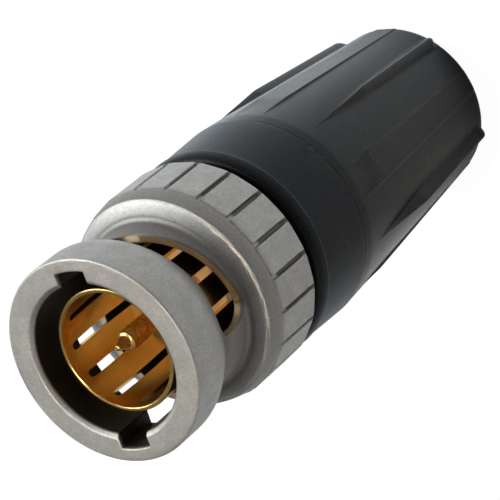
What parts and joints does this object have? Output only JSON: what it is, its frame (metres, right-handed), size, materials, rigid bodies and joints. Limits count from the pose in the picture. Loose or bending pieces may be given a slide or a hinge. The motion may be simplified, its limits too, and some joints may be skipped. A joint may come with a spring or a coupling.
{
  "type": "bnc connector",
  "caption": "Coaxial bayonet-lock cable plug with a metal coupling nut, gilt slotted contact sleeve, centre pin and a ribbed black boot that turns the lock.",
  "frame": {"origin": "centre of the boot's flat rear end, on the mating axis", "axes": "+Z along the mating axis towards the mating face; the two keyways lie on the Y axis and the two lock pockets on the X axis"},
  "size_m": [0.0144, 0.0144, 0.0376],
  "materials": {
    "nickel_zinc": "satin, fine cast grain",
    "gold_spring": "polished gold plate",
    "gold_contact": "satin gold plate",
    "insulator": "matt",
    "nickel_brass": "nickel plate",
    "gasket": "matt",
    "spring_steel": "satin",
    "ferrule_metal": "nickel plate",
    "collar_plastic": "fine grain",
    "boot_plastic": "fine grain"
  },
  "bodies": {
    "shell": {"coupling_nut": "nickel_zinc", "boot_collar": "collar_plastic", "boot": "boot_plastic", "backing_washer": "spring_steel", "wave_spring": "spring_steel"},
    "thrust": {"thrust_washer": "spring_steel"},
    "core": {"contact_body": "nickel_brass", "contact_sleeve": "gold_spring", "centre_pin": "gold_contact", "front_insulator": "insulator", "rear_insulator": "insulator", "face_gasket": "gasket", "crimp_ferrule": "ferrule_metal"}
  },
  "joints": [
    {"name": "coupling_travel", "type": "slide", "parent": "shell", "child": "thrust", "axis": [0, 0, -1], "range_m": [0, 0.0008], "stiffness_N_per_m": 1500, "springref_m": -0.004, "deforming": ["wave_spring"]},
    {"name": "coupling_turn", "type": "hinge", "parent": "thrust", "child": "core", "pos_m": [0, 0, 0.0268], "axis": [0, 0, 1], "continuous": true}
  ]
}
